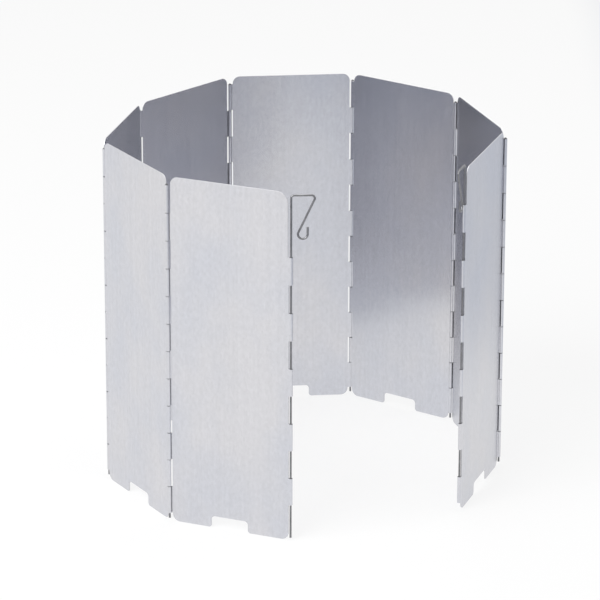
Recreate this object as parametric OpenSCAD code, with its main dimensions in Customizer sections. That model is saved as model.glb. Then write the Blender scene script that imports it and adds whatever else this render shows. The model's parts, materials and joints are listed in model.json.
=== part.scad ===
// Folding stove windscreen: eight sheet aluminium plates joined by wire hinges, with a hooked
// ground stake in each free edge. It stands as an open ring, origin on the ground at its middle,
// +Z up, and the way in to the stove faces -Y. Plates are numbered round the ring from the free
// edge at the left of the way in, so hinge k joins plate k to plate k + 1.

/* [Plates] */
// Height of a plate
plate_height = 240; // [160:1:320]
// Distance between the two hinge axes of a plate, measured along it
plate_pitch = 86; // [60:0.5:140]
// Thickness of the sheet
sheet = 0.5; // [0.3:0.05:0.8]
// Radius of a plate's corners beside its hinges
corner_radius = 5; // [2:0.5:5]
// Radius of the upper corner beside the left stake
free_corner_radius = 8; // [2:0.5:15]

/* [Foot notches] */
// Width of the notch in a plate's lower edge
notch_width = 26; // [12:0.5:40]
// Height of the notch
notch_height = 8; // [6:0.5:20]
// Radius of the notch's upper corners
notch_radius = 2.5; // [0.5:0.25:3]
// Radius of the feet's corners beside the notch
foot_radius = 2; // [0.5:0.25:2.5]

/* [Hinges] */
// Diameter of the hinge pins and stakes
wire_diameter = 1.4; // [1:0.1:2]
// Gap between a wire and the roll around it
wire_clearance = 0.05; // [0.03:0.01:0.1]
// Distance from a hinge axis to the middle of the sheet, to either side of it
axis_offset = 0.85; // [0.8:0.05:1.1]
// Slit between a plate's edge and its neighbour's rolls
edge_slit = 0.85; // [0.5:0.05:2]
// Number of rolls along a hinge, both plates together
rolls = 12; // [6:2:16]
// Height from a plate's end to the first roll
roll_margin = 5.4; // [5.2:0.1:12]
// Gap between one roll and the next
roll_gap = 0.4; // [0.2:0.1:1]
// How far round the wire the sheet is rolled
roll_turn = 280; // [240:5:290]
// Length of a hinge pin below the lowest roll
pin_below = 3.4; // [0:0.1:5]
// Length of a hinge pin above the highest roll
pin_above = 0.5; // [0:0.1:3]

/* [Stakes] */
// Height of a stake from its lower end to its arm
stake_length = 236.5; // [150:0.5:320]
// Height of the left stake's arm above the plates' upper edge
left_arm_rise = -2; // [-10:0.5:10]
// Height of the right stake's arm above the plates' upper edge
right_arm_rise = 2.5; // [-10:0.5:10]
// Turn of the left hook out of its plate's plane, towards the inside
left_hook_turn = 26; // [-90:0.5:90]
// Turn of the right hook out of its plate's plane, towards the inside
right_hook_turn = -1; // [-90:0.5:90]
// Reach of the hook's arm from the stake's axis
hook_reach = 15; // [12:0.5:30]
// Bend radius between the stake and the arm
arm_bend = 1.8; // [1.2:0.1:4]
// Bend radius at the arm's outer end
shoulder_bend = 2.2; // [1.2:0.1:4]
// Lean of the hook's shank from the vertical
shank_lean = 25; // [10:1:30]
// Length of the hook's straight shank
shank_length = 24; // [15:0.5:27]
// Bend radius of the hook's eye
eye_bend = 3.1; // [2:0.1:4]
// Length of the hook's short leg
leg_length = 4.7; // [1:0.1:8]

/* [Ring] */
// Bend at hinge 1
bend_1 = 36; // [20:1:48]
// Bend at hinge 2
bend_2 = 46; // [20:1:48]
// Bend at hinge 3
bend_3 = 29; // [20:1:48]
// Bend at hinge 4
bend_4 = 41; // [20:1:48]
// Bend at hinge 5
bend_5 = 40; // [20:1:48]
// Bend at hinge 6
bend_6 = 36; // [20:1:48]
// Bend at hinge 7
bend_7 = 39; // [20:1:48]

/* [Hidden] */
$fn = 48;

bends = [bend_1, bend_2, bend_3, bend_4, bend_5, bend_6, bend_7];
plates = len(bends) + 1;

// Hinge section: wire, inside and outside of the roll, and the edge of the flat sheet.
wire_r = wire_diameter / 2;
bore_r = wire_r + wire_clearance;
roll_r = bore_r + sheet;
edge_x = roll_r + edge_slit;
roll_pitch = (plate_height - 2 * roll_margin) / rolls;

// Side of the sheet that an axis lies on: odd hinges lie outside the ring and fold outwards,
// even ones inside it and fold inwards, so that the folded plates lie flat on each other.
function axis_y(hinge) = hinge % 2 == 1 ? axis_offset : -axis_offset;

// Plan of the ring, walked from the left stake round the back to the right one.
function turned(v, angle) = [v.x * cos(angle) - v.y * sin(angle), v.x * sin(angle) + v.y * cos(angle)];
function raw_heading(k) = k == 1 ? 0 : raw_heading(k - 1) - bends[k - 2];
function raw_axis(k) =
    k == 0 ? [0, 0] : raw_axis(k - 1) + turned([plate_pitch, axis_y(k) - axis_y(k - 1)], raw_heading(k));

// The way in between the two stakes is turned to face -Y.
way_in = raw_axis(plates);
ring_turn = -atan2(way_in.y, way_in.x);
function heading(k) = raw_heading(k) + ring_turn;
function loose_axis(k) = turned(raw_axis(k), ring_turn);

// Directions of the two hooks in plan.
left_hook_heading = heading(1) + 180 + left_hook_turn;
right_hook_heading = heading(plates) - right_hook_turn;

// The ring's box is centred on the origin: it is bounded by the rolls and the hooks' shoulders.
rolls_plan = [for (k = [0:plates]) loose_axis(k)];
shoulders_plan = [
    loose_axis(0) + turned([hook_reach, 0], left_hook_heading),
    loose_axis(plates) + turned([hook_reach, 0], right_hook_heading)
];
function low(i) = min(
    min([for (p = rolls_plan) p[i]]) - roll_r,
    min([for (p = shoulders_plan) p[i]]) - wire_r);
function high(i) = max(
    max([for (p = rolls_plan) p[i]]) + roll_r,
    max([for (p = shoulders_plan) p[i]]) + wire_r);
middle = [(low(0) + high(0)) / 2, (low(1) + high(1)) / 2];
function hinge_axis(k) = loose_axis(k) - middle;

// Heights of the stakes' arms.
left_arm_z = plate_height + left_arm_rise;
right_arm_z = plate_height + right_arm_rise;

aluminium = [0.80, 0.81, 0.83];
steel = [0.36, 0.37, 0.39];

// Waste outside a round corner, with the corner at the origin and the sheet towards +X +Y.
module corner_waste(radius) {
    difference() {
        square(radius);
        translate([radius, radius])
            circle(radius);
    }
}

// The notch's opening, middle of its mouth at the origin.
module notch_opening() {
    inner = notch_width / 2 - notch_radius;
    translate([-notch_width / 2, 0])
        square([notch_width, notch_height - notch_radius]);
    translate([-inner, 0])
        square([2 * inner, notch_height]);
    for (side = [0, 1])
        mirror([side, 0]) {
            translate([inner, notch_height - notch_radius])
                circle(notch_radius);
            translate([notch_width / 2, 0])
                corner_waste(foot_radius);
        }
}

// Outline of the flat sheet between its two hinge edges, seen from outside the ring.
module plate_outline(stake_corner) {
    width = plate_pitch - 2 * edge_x;
    difference() {
        square([width, plate_height]);
        corner_waste(corner_radius);
        translate([width, 0])
            mirror([1, 0])
                corner_waste(corner_radius);
        translate([width, plate_height])
            rotate(180)
                corner_waste(corner_radius);
        translate([0, plate_height])
            mirror([0, 1])
                corner_waste(stake_corner);
        translate([width / 2, 0])
            notch_opening();
    }
}

// One roll: the sheet runs in from +X, below the axis, and curls round it. Number 1 is the highest.
module edge_roll(number) {
    length = roll_pitch - roll_gap;
    translate([0, 0, plate_height - roll_margin - number * roll_pitch + roll_gap / 2]) {
        mirror([1, 0, 0])
            rotate(-90)
                rotate_extrude(angle = roll_turn)
                    translate([bore_r, 0])
                        square([sheet, length]);
        linear_extrude(length)
            polygon([
                [0, -roll_r],
                [edge_x, -axis_offset - sheet / 2],
                [edge_x, -axis_offset + sheet / 2],
                [0, -bore_r]
            ]);
    }
}

// A row of rolls on one edge, for an axis on the given side of the sheet.
module edge_rolls(first, side) {
    mirror([0, side < 0 ? 1 : 0])
        for (number = [first:2:rolls])
            edge_roll(number);
}

// Plate k at its place in the ring, with its rolls: odd numbers on the edge nearer the left stake
// and even ones on the other. The roll that the left stake's hook would strike is left off.
module panel(k) {
    near = axis_y(k - 1);
    far = axis_y(k);
    translate(hinge_axis(k - 1))
        rotate(heading(k)) {
            translate([edge_x, sheet / 2 - near, 0])
                rotate([90, 0, 0])
                    linear_extrude(sheet)
                        plate_outline(k == 1 ? free_corner_radius : corner_radius);
            edge_rolls(k == 1 ? 3 : 1, near);
            translate([plate_pitch, far - near, 0])
                mirror([1, 0, 0])
                    edge_rolls(2, far);
        }
}

// Hinge pin k, a straight wire through the rolls of two plates.
module pin(k) {
    bottom = roll_margin - pin_below;
    translate([hinge_axis(k).x, hinge_axis(k).y, bottom])
        cylinder(r = wire_r, h = plate_height - roll_margin + pin_above - bottom);
}

// Straight part of a stake, up to where its arm bends off.
module stake(hinge, arm_z) {
    translate([hinge_axis(hinge).x, hinge_axis(hinge).y, arm_z - stake_length])
        cylinder(r = wire_r, h = stake_length - arm_bend);
}

// Straight wire from the origin along +X. What follows it starts at its far end.
module wire_run(length) {
    rotate([0, 90, 0])
        cylinder(r = wire_r, h = length);
    translate([length, 0, 0])
        children();
}

// Bent wire from the origin, setting off along +X and turning left, or right by a negative angle.
// What follows it starts at its far end, in the direction reached there.
module wire_bend(radius, angle) {
    side = sign(angle);
    translate([0, side * radius, 0]) {
        mirror([0, side < 0 ? 1 : 0, 0])
            rotate(-90)
                rotate_extrude(angle = abs(angle))
                    translate([radius, 0])
                        circle(wire_r);
        rotate(angle)
            translate([0, -side * radius, 0])
                children();
    }
}

// Hooked top of a stake: arm, shoulder, shank leaning back to the stake, eye and short leg.
// It is drawn flat, with the stake's axis along Y and its upper end at the origin.
module hook_flat() {
    rotate(90)
        wire_bend(arm_bend, -90)
        wire_run(hook_reach - arm_bend - shoulder_bend)
        wire_bend(shoulder_bend, -90 - shank_lean)
        wire_run(shank_length)
        wire_bend(eye_bend, 180 + shank_lean)
        wire_run(leg_length);
}

// A hook standing on its stake.
module hook(hinge, arm_z, direction) {
    translate([hinge_axis(hinge).x, hinge_axis(hinge).y, arm_z - arm_bend])
        rotate(direction)
            rotate([90, 0, 0])
                hook_flat();
}

module panel_1() { color(aluminium) panel(1); }
module panel_2() { color(aluminium) panel(2); }
module panel_3() { color(aluminium) panel(3); }
module panel_4() { color(aluminium) panel(4); }
module panel_5() { color(aluminium) panel(5); }
module panel_6() { color(aluminium) panel(6); }
module panel_7() { color(aluminium) panel(7); }
module panel_8() { color(aluminium) panel(8); }
module hinge_pin_1() { color(steel) pin(1); }
module hinge_pin_2() { color(steel) pin(2); }
module hinge_pin_3() { color(steel) pin(3); }
module hinge_pin_4() { color(steel) pin(4); }
module hinge_pin_5() { color(steel) pin(5); }
module hinge_pin_6() { color(steel) pin(6); }
module hinge_pin_7() { color(steel) pin(7); }
module stake_left() { color(steel) stake(0, left_arm_z); }
module stake_right() { color(steel) stake(plates, right_arm_z); }
module hook_left() { color(steel) hook(0, left_arm_z, left_hook_heading); }
module hook_right() { color(steel) hook(plates, right_arm_z, right_hook_heading); }

panel_1();
panel_2();
panel_3();
panel_4();
panel_5();
panel_6();
panel_7();
panel_8();
hinge_pin_1();
hinge_pin_2();
hinge_pin_3();
hinge_pin_4();
hinge_pin_5();
hinge_pin_6();
hinge_pin_7();
stake_left();
stake_right();
hook_left();
hook_right();
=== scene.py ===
"""Looks of the folding stove windscreen: finishes, stage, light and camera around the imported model."""
import json
import math

import bmesh
import bpy
from mathutils import Matrix, Vector


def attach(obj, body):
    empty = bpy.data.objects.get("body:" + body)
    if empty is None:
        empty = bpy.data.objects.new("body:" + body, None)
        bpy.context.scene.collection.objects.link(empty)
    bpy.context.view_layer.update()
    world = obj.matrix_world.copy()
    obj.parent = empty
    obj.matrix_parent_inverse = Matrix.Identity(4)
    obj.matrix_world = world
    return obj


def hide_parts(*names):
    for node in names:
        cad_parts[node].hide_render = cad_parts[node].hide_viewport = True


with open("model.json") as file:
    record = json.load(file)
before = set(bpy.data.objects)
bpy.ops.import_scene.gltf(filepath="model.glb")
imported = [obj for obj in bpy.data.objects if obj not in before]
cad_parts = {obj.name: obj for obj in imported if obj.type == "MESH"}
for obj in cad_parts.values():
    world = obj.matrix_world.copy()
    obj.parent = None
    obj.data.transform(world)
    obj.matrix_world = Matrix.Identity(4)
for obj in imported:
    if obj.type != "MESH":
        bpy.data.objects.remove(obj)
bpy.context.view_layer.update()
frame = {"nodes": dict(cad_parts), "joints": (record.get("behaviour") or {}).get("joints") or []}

UPWARDS = (0.0, 0.0, 1.0)
TOWARDS_FRONT = (0.0, -1.0, 0.0)

# Plates, in metres.
PLATES = 8
HOLD = 0.0003           # how near a point has to be to a place to count as there
SAME_POINT = 0.000002   # corners of a solid that are nearer than this are one
EDGE_ROUND = 0.00005    # rounding of every cut edge of the sheet
EDGE_STEPS = 2          # steps that make up the rounding
CURL_REACH = 0.0016     # from a hinge's axis to just outside its curl
CAD_EDGE = 0.0021       # from a stake's axis to the edge of its plate, as packed
STAKE_EDGE = 0.0011     # the same, about as in the photograph
HOOK_BAY_EDGE = 0.0018  # the same in the top bay, where the hook turns when its stake is pushed down
HOOK_BAY_FOOT = {1: 0.19, 8: 0.205}     # a level just below the top bay of each stake plate
ABOVE_ALL = 1.0         # a level above the whole screen
CORNER_REACH = 0.0082   # the largest corner radius and a little more
FLAT_BEND = math.radians(0.5)       # faces that meet at less than this are one flat
CUT_BEND = math.radians(40.0)       # edges that bend more than this are cut edges
SMOOTH_BEND = math.radians(20.0)    # edges that bend less than this are shaded smooth
SHEET_FACING = 0.95     # a face that looks this squarely out of the plate is sheet
END_FACING = 0.5        # a face of a curl that looks this much up or down is its end
CUT_SLOT = 1
CURL_END_SHADE_SLOT = 2

# A camera like the photograph's: a long lens, a little above the screen and to the left of the way in.
LENS = 235.1
SENSOR = 36.0
CAMERA_YAW = math.radians(23.77)
CAMERA_PITCH = math.radians(20.22)
CAMERA_ROLL = math.radians(0.16)
CAMERA_DISTANCE = 2.6508
CAMERA_AIM = Vector((0.0, 0.0, 0.1189))
CAMERA_REACH = 50.0
CAMERA_RIGHT = (math.cos(CAMERA_YAW), -math.sin(CAMERA_YAW), 0.0)

# Finishes, as linear colours.
SHEET_COLOUR = (0.642, 0.652, 0.7, 1.0)
CLOUD_COLOUR = (0.664, 0.66, 0.684, 1.0)
CUT_COLOUR = (0.6, 0.6, 0.62, 1.0)
# Painted shade: the curls' ends are near black, standing in for the shade in the gaps between curls and down
# their bores.
CURL_END_PAINTED_SHADE = (0.1, 0.1, 0.11, 1.0)
WIRE_COLOUR = (0.235, 0.235, 0.245, 1.0)

# Noises: stretch along the three axes, scale, detail and roughness.
GRAIN = ((1.0, 1.0, 0.02), 1600.0, 3.0, 0.6)
STREAK = ((1.0, 1.0, 0.008), 420.0, 2.0, 0.5)
SPECKLE = ((1.0, 1.0, 0.6), 480.0, 3.0, 0.7)
CLOUD = ((1.0, 1.0, 0.7), 16.0, 3.0, 0.55)
WAVE = ((1.0, 1.0, 0.6), 11.0, 1.0, 0.4)
TEAR = ((1.0, 1.0, 1.0), 2400.0, 3.0, 0.7)
WIRE_LINE = ((1.0, 1.0, 0.03), 2600.0, 2.0, 0.5)
WIRE_PATCH = ((1.0, 1.0, 1.0), 190.0, 3.0, 0.6)
NOISE_SPAN = (0.3, 0.7)         # where most values of a noise lie
CLOUD_SPAN = (0.4, 0.65)        # cloud values over which the sheet's colour changes

# How much each noise does. A single number goes both ways from the middle.
GRAIN_SHADE = 0.012
STREAK_SHADE = 0.016
SPECKLE_SHADE = 0.045
CLOUD_SHADE = 0.035
GRAIN_ROUGHNESS = 0.015
SHEET_ROUGHNESS = (0.21, 0.23)
SHEET_BUMP = 1.0
SHEET_WAVE = 0.0012             # height of the sheet's waves, in metres
SPECKLE_HEIGHT = 0.001          # height of the speckle, as a share of the waves'
BRUSHED = 0.85                  # how far the grain draws a highlight out sideways
TEAR_SHADE = (0.75, 1.25)
CUT_ROUGHNESS = (0.4, 0.55)
LINE_SHADE = 0.1
PATCH_SHADE = (0.8, 1.15)
WIRE_ROUGHNESS = (0.16, 0.26)
WIRE_BUMP = 0.1
WIRE_LINE_HEIGHT = 0.00005

# Stage. Spans are distances from the middle of the screen, in metres, over which the floor's glow is
# darkened to painted shade, standing in for the lamps' light falling off.
STAGE_WHITE = (1.0, 1.0, 1.0, 1.0)
ROOM_LIGHT = 0.35               # strength of the white room where it only lights
FLOOR_RADIUS = 6.0
FLOOR_SIDES = 96
FLOOR_LEVEL = -0.0002
FLOOR_PAINT = (0.9, 0.9, 0.9, 1.0)
FLOOR_GLOW = 0.8                # share of glow in the floor as it is seen, the rest is lit paint
# Painted shade: over these spans the floor's glow darkens to these cool greys, in place of the lamps' light
# falling off in front and to the right.
FLOOR_FRONT = (0.36, 0.75)
FLOOR_FRONT_PAINTED_SHADE = (0.66, 0.685, 0.74, 1.0)
FLOOR_RIGHT = (0.25, 0.36)
FLOOR_RIGHT_PAINTED_SHADE = (0.72, 0.745, 0.8, 1.0)

# Soft boxes: name, place, length of a side and power. All look at one target.
SOFT_BOXES = (
    ("left_soft_box", (-1.8, -0.6, 1.6), 2.0, 48.0),
    ("overhead_soft_box", (0.3, 0.2, 2.2), 1.8, 20.0))
LAMP_TARGET = (0.0, 0.0, 0.1)


def deselect_all():
    """Leave nothing selected, so that an operator acts only on what is picked after it."""
    for thing in bpy.context.selected_objects:
        thing.select_set(False)


class Nodes:
    """Short words for building one material's node tree."""

    def __init__(self, name):
        self.material = bpy.data.materials.new(name)
        self.material.use_nodes = True
        self.tree = self.material.node_tree
        self.tree.nodes.clear()
        self.output = self.add("ShaderNodeOutputMaterial")

    def add(self, kind, **values):
        """A new node with some of its settings."""
        node = self.tree.nodes.new(kind)
        for key, value in values.items():
            setattr(node, key, value)
        return node

    def link(self, source, target):
        """Join an output to an input."""
        self.tree.links.new(source, target)

    def feed(self, socket, value):
        """Set an input to a constant, or join an output to it."""
        if isinstance(value, (int, float, tuple)):
            socket.default_value = value
        else:
            self.link(value, socket)

    def object_place(self, scale):
        """Object coordinates, stretched by a scale for each axis."""
        place = self.add("ShaderNodeTexCoord")
        mapping = self.add("ShaderNodeMapping")
        mapping.inputs["Scale"].default_value = scale
        self.link(place.outputs["Object"], mapping.inputs["Vector"])
        return mapping.outputs["Vector"]

    def distance_along(self, direction):
        """How far a point lies from the object's origin in one direction."""
        node = self.add("ShaderNodeVectorMath", operation="DOT_PRODUCT")
        node.inputs[1].default_value = direction
        self.link(self.object_place((1.0, 1.0, 1.0)), node.inputs[0])
        return node.outputs["Value"]

    def noise(self, stretch, scale, detail, roughness):
        """A noise that stays with the object."""
        vector = self.object_place(stretch)
        node = self.add("ShaderNodeTexNoise")
        node.inputs["Scale"].default_value = scale
        node.inputs["Detail"].default_value = detail
        node.inputs["Roughness"].default_value = roughness
        self.link(vector, node.inputs["Vector"])
        return node.outputs["Fac"]

    def spread(self, value, low, high, to_low, to_high, course="LINEAR"):
        """Map a value's span to another, held at its ends."""
        node = self.add("ShaderNodeMapRange", interpolation_type=course)
        node.inputs["From Min"].default_value = low
        node.inputs["From Max"].default_value = high
        node.inputs["To Min"].default_value = to_low
        node.inputs["To Max"].default_value = to_high
        self.link(value, node.inputs["Value"])
        return node.outputs["Result"]

    def vary(self, noise, low, high):
        """A noise, spread between two numbers."""
        return self.spread(noise, *NOISE_SPAN, low, high)

    def maths(self, operation, first, second):
        """Two values added, multiplied or the like."""
        node = self.add("ShaderNodeMath", operation=operation)
        self.feed(node.inputs[0], first)
        self.feed(node.inputs[1], second)
        return node.outputs["Value"]

    def mix(self, amount, first, second, blend="MIX"):
        """Two colours mixed. The node's colour sockets come after those for numbers and vectors."""
        node = self.add("ShaderNodeMix", data_type="RGBA", blend_type=blend)
        self.feed(node.inputs[0], amount)
        self.feed(node.inputs[6], first)
        self.feed(node.inputs[7], second)
        return node.outputs[2]

    def scaled(self, colour, amount):
        """A colour made brighter or darker."""
        node = self.add("ShaderNodeVectorMath", operation="SCALE")
        self.feed(node.inputs[0], colour)
        self.link(amount, node.inputs["Scale"])
        return node.outputs["Vector"]

    def bump(self, height, strength, distance):
        """Surface direction of a relief."""
        node = self.add("ShaderNodeBump")
        node.inputs["Strength"].default_value = strength
        node.inputs["Distance"].default_value = distance
        self.link(height, node.inputs["Height"])
        return node.outputs["Normal"]

    def metal(self, colour, roughness):
        """A bare metal shader, joined to the material's output."""
        shader = self.add("ShaderNodeBsdfPrincipled")
        shader.inputs["Metallic"].default_value = 1.0
        self.link(colour, shader.inputs["Base Color"])
        self.link(roughness, shader.inputs["Roughness"])
        self.link(shader.outputs["BSDF"], self.output.inputs["Surface"])
        return shader


def satin_aluminium():
    """Rolled sheet with a fine upright grain, a soft speckle and faint cloudiness."""
    n = Nodes("satin_aluminium")
    grain = n.noise(*GRAIN)
    streak = n.noise(*STREAK)
    speckle = n.noise(*SPECKLE)
    cloud = n.noise(*CLOUD)
    wave = n.noise(*WAVE)

    shade = n.vary(grain, -GRAIN_SHADE, GRAIN_SHADE)
    shade = n.maths("ADD", shade, n.vary(streak, -STREAK_SHADE, STREAK_SHADE))
    shade = n.maths("ADD", shade, n.vary(speckle, -SPECKLE_SHADE, SPECKLE_SHADE))
    shade = n.maths("ADD", shade, n.vary(cloud, -CLOUD_SHADE, CLOUD_SHADE))
    shade = n.maths("ADD", shade, 1.0)
    tone = n.mix(n.spread(cloud, *CLOUD_SPAN, 0.0, 1.0), SHEET_COLOUR, CLOUD_COLOUR)
    rough = n.maths("ADD", n.vary(grain, -GRAIN_ROUGHNESS, GRAIN_ROUGHNESS), n.vary(cloud, *SHEET_ROUGHNESS))
    height = n.maths("ADD", wave, n.maths("MULTIPLY", speckle, SPECKLE_HEIGHT))

    # The upright grain spreads reflections sideways, so the highlight's direction is level along the sheet.
    facing = n.add("ShaderNodeNewGeometry")
    sideways = n.add("ShaderNodeVectorMath", operation="CROSS_PRODUCT")
    sideways.inputs[0].default_value = UPWARDS
    n.link(facing.outputs["Normal"], sideways.inputs[1])

    shader = n.metal(n.scaled(tone, shade), rough)
    shader.inputs["Anisotropic"].default_value = BRUSHED
    n.link(sideways.outputs["Vector"], shader.inputs["Tangent"])
    n.link(n.bump(height, SHEET_BUMP, SHEET_WAVE), shader.inputs["Normal"])
    return n.material


def cut_metal_and_painted_shade(name, colour):
    """Sheared metal: dull, with fine torn marks. Given a near-black colour, it is the painted shade at the
    curls' ends.
    """
    n = Nodes(name)
    tear = n.noise(*TEAR)
    n.metal(n.scaled(colour[:3], n.vary(tear, *TEAR_SHADE)), n.vary(tear, *CUT_ROUGHNESS))
    return n.material


def drawn_steel_wire():
    """Dull drawn wire with fine upright lines and darker rubbed patches."""
    n = Nodes("drawn_steel_wire")
    line = n.noise(*WIRE_LINE)
    patch = n.noise(*WIRE_PATCH)
    shade = n.maths("ADD", n.vary(line, -LINE_SHADE, LINE_SHADE), n.vary(patch, *PATCH_SHADE))
    shader = n.metal(n.scaled(WIRE_COLOUR[:3], shade), n.vary(patch, *WIRE_ROUGHNESS))
    n.link(n.bump(line, WIRE_BUMP, WIRE_LINE_HEIGHT), shader.inputs["Normal"])
    return n.material


def pick(mesh_object, kind, test):
    """In edit mode, select only the vertices or edges that pass a test."""
    bpy.ops.mesh.select_mode(type={"verts": "VERT", "edges": "EDGE"}[kind])
    bpy.ops.mesh.select_all(action="DESELECT")
    mesh = bmesh.from_edit_mesh(mesh_object.data)
    for item in getattr(mesh, kind):
        if test(item):
            item.select_set(True)
    bmesh.update_edit_mesh(mesh_object.data)


def upright_axes():
    """The two stakes' and seven hinges' upright axes, in their order round the screen."""
    places = {joint["name"]: Vector(joint["pos_m"]) for joint in frame["joints"] if "pos_m" in joint}
    names = ["hook_left_turn", *[f"hinge_{number}" for number in range(1, PLATES)], "hook_right_turn"]
    return [places[name] for name in names]


def level_distance(first, second):
    """Distance between two points as seen from above."""
    return (first - second).to_2d().length


def dressed_plate(number, near, far, finishes):
    """One plate between two upright axes, made from its solid.

    Its cut edges are rounded and have their own finish, the ends of its curls are painted near black as
    shade, and a free edge comes close to its stake.
    """
    deselect_all()
    plate = bpy.data.objects.new(f"plate_{number}", frame["nodes"][f"panel_{number}"].data.copy())
    bpy.context.scene.collection.objects.link(plate)
    bpy.context.view_layer.objects.active = plate
    plate.select_set(True)
    bpy.ops.mesh.customdata_custom_splitnormals_clear()
    bpy.ops.object.mode_set(mode="EDIT")
    bpy.ops.mesh.select_all(action="SELECT")
    bpy.ops.mesh.remove_doubles(threshold=SAME_POINT)
    bpy.ops.mesh.dissolve_limited(angle_limit=FLAT_BEND)
    largest = max(bmesh.from_edit_mesh(plate.data).faces, key=lambda face: face.calc_area())
    square_on = largest.normal.copy()
    along = square_on.cross(Vector(UPWARDS))
    if along.dot(far - near) < 0.0:
        along.negate()

    if number in HOOK_BAY_FOOT:
        stake, inwards = (near, along) if number == 1 else (far, -along)
        foot = HOOK_BAY_FOOT[number]
        for edge, lowest, highest in ((HOOK_BAY_EDGE, foot, ABOVE_ALL), (STAKE_EDGE, 0.0, foot)):
            pick(plate, "verts", lambda vertex: lowest < vertex.co.z < highest and
                 CAD_EDGE - HOLD < (vertex.co - stake).dot(inwards) < CAD_EDGE + CORNER_REACH)
            bpy.ops.transform.translate(value=inwards * (edge - CAD_EDGE))
    pick(plate, "edges", lambda edge: edge.is_manifold and edge.calc_face_angle() > CUT_BEND)
    bpy.ops.mesh.bevel(offset=EDGE_ROUND, segments=EDGE_STEPS, affect="EDGES", clamp_overlap=True)
    bpy.ops.object.mode_set(mode="OBJECT")

    plate.data.materials.clear()
    for finish in finishes:
        plate.data.materials.append(finish)
    for face in plate.data.polygons:
        if abs(face.normal.dot(square_on)) > SHEET_FACING:
            continue
        if min(level_distance(face.center, near), level_distance(face.center, far)) > CURL_REACH:
            face.material_index = CUT_SLOT
        # The curls' ends get painted shade: near black, for the shade in the gaps between curls.
        elif abs(face.normal.z) > END_FACING:
            face.material_index = CURL_END_SHADE_SLOT
    bpy.ops.object.shade_smooth_by_angle(angle=SMOOTH_BEND)
    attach(plate, f"panel_{number}")
    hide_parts(f"panel_{number}")


def give_finish(node_name, material):
    """Put a finish on every material slot of a CAD node."""
    for slot in frame["nodes"][node_name].material_slots:
        slot.material = material


def seen_directly(tree):
    """1 for rays from the camera and those reflected or let through on their way to it, else 0."""
    path = tree.nodes.new("ShaderNodeLightPath")
    seen = path.outputs["Is Camera Ray"]
    for kind in ("Is Glossy Ray", "Is Transmission Ray"):
        either = tree.nodes.new("ShaderNodeMath")
        either.operation = "MAXIMUM"
        tree.links.new(seen, either.inputs[0])
        tree.links.new(path.outputs[kind], either.inputs[1])
        seen = either.outputs["Value"]
    return seen


def studio_world():
    """White room: white where it is seen or reflected, softer where it only lights."""
    world = bpy.data.worlds.new("studio_room")
    bpy.context.scene.world = world
    world.use_nodes = True
    tree = world.node_tree
    tree.nodes.clear()
    output = tree.nodes.new("ShaderNodeOutputWorld")
    room = tree.nodes.new("ShaderNodeBackground")
    room.inputs["Color"].default_value = STAGE_WHITE
    strength = tree.nodes.new("ShaderNodeMapRange")
    strength.inputs["To Min"].default_value = ROOM_LIGHT
    strength.inputs["To Max"].default_value = 1.0
    tree.links.new(seen_directly(tree), strength.inputs["Value"])
    tree.links.new(strength.outputs["Result"], room.inputs["Strength"])
    tree.links.new(room.outputs["Background"], output.inputs["Surface"])


def painted_floor_falloff(n, direction, span, shade):
    """White glow darkened smoothly to painted shade over a span of distances in one direction, standing in
    for light falling off.
    """
    amount = n.spread(n.distance_along(direction), *span, 0.0, 1.0, "SMOOTHSTEP")
    return n.mix(amount, STAGE_WHITE, shade)


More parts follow.
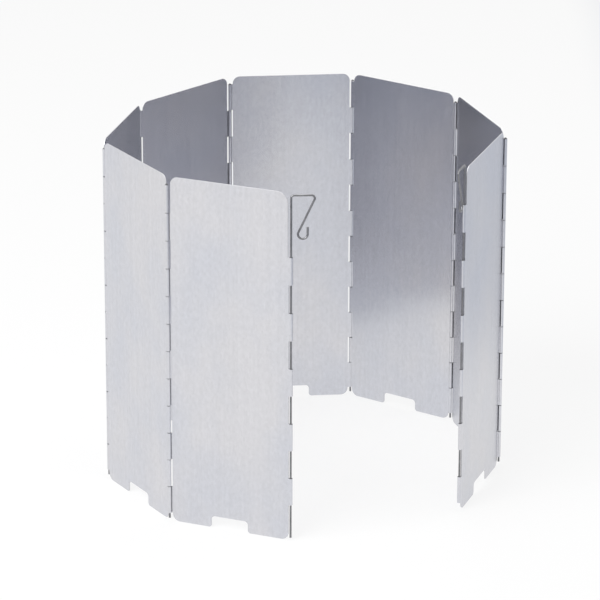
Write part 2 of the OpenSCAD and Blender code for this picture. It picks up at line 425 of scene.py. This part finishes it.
def studio_floor():
    """White floor that keeps a light shadow of the screen; in front and to the right its glow is darkened to
    cool pale grey, a painted shade standing in for the lamps' light falling off.

    The plates mirror the pale grey there, which brings their tones nearer to the photograph's.
    """
    deselect_all()
    bpy.ops.mesh.primitive_circle_add(
        vertices=FLOOR_SIDES, radius=FLOOR_RADIUS, fill_type="NGON", location=(0.0, 0.0, FLOOR_LEVEL))
    floor = bpy.context.object
    floor.name = "studio_floor"
    n = Nodes("studio_floor_paint")
    paint = n.add("ShaderNodeBsdfDiffuse")
    paint.inputs["Color"].default_value = FLOOR_PAINT
    glow = n.add("ShaderNodeEmission")
    # Painted shade: the glow darkens to cool grey in front and to the right, as if the lamps' light fell off
    # there.
    painted_front_falloff = painted_floor_falloff(n, TOWARDS_FRONT, FLOOR_FRONT, FLOOR_FRONT_PAINTED_SHADE)
    painted_right_falloff = painted_floor_falloff(n, CAMERA_RIGHT, FLOOR_RIGHT, FLOOR_RIGHT_PAINTED_SHADE)
    n.link(n.mix(1.0, painted_front_falloff, painted_right_falloff, "MULTIPLY"), glow.inputs["Color"])
    blend = n.add("ShaderNodeMixShader")
    n.link(n.maths("MULTIPLY", seen_directly(n.tree), FLOOR_GLOW), blend.inputs["Fac"])
    n.link(paint.outputs["BSDF"], blend.inputs[1])
    n.link(glow.outputs["Emission"], blend.inputs[2])
    n.link(blend.outputs["Shader"], n.output.inputs["Surface"])
    floor.data.materials.append(n.material)


def soft_lamp(name, place, size, power):
    """A square soft box that looks at the lamps' target."""
    lamp = bpy.data.lights.new(name, "AREA")
    lamp.shape = "SQUARE"
    lamp.size = size
    lamp.energy = power
    thing = bpy.data.objects.new(name, lamp)
    bpy.context.scene.collection.objects.link(thing)
    thing.location = place
    thing.rotation_euler = (Vector(LAMP_TARGET) - Vector(place)).to_track_quat("-Z", "Y").to_euler()


def photograph_camera():
    """A camera like the photograph's, fitted to the hinges' places in it."""
    forward = Vector((
        math.sin(CAMERA_YAW) * math.cos(CAMERA_PITCH),
        math.cos(CAMERA_YAW) * math.cos(CAMERA_PITCH),
        -math.sin(CAMERA_PITCH)))
    level = Vector(CAMERA_RIGHT)
    above = level.cross(forward)
    right = math.cos(CAMERA_ROLL) * level + math.sin(CAMERA_ROLL) * above
    up = math.cos(CAMERA_ROLL) * above - math.sin(CAMERA_ROLL) * level
    data = bpy.data.cameras.new("photograph_camera")
    data.sensor_fit = "HORIZONTAL"
    data.sensor_width = SENSOR
    data.lens = LENS
    data.clip_end = CAMERA_REACH
    camera = bpy.data.objects.new("photograph_camera", data)
    bpy.context.scene.collection.objects.link(camera)
    turn = Matrix((right, up, -forward)).transposed().to_4x4()
    camera.matrix_world = Matrix.Translation(CAMERA_AIM - CAMERA_DISTANCE * forward) @ turn
    bpy.context.scene.camera = camera


bpy.context.scene.view_settings.view_transform = "Standard"
photograph_camera()
studio_world()
studio_floor()
for box in SOFT_BOXES:
    soft_lamp(*box)

axes = upright_axes()
sheet_finishes = (
    satin_aluminium(),
    cut_metal_and_painted_shade("sheared_edge", CUT_COLOUR),
    # The third finish is painted shade for the curls' ends.
    cut_metal_and_painted_shade("curl_end", CURL_END_PAINTED_SHADE))
for number in range(1, PLATES + 1):
    dressed_plate(number, axes[number - 1], axes[number], sheet_finishes)
steel = drawn_steel_wire()
for number in range(1, PLATES):
    give_finish(f"hinge_pin_{number}", steel)
for side in ("left", "right"):
    give_finish(f"stake_{side}", steel)
    give_finish(f"hook_{side}", steel)
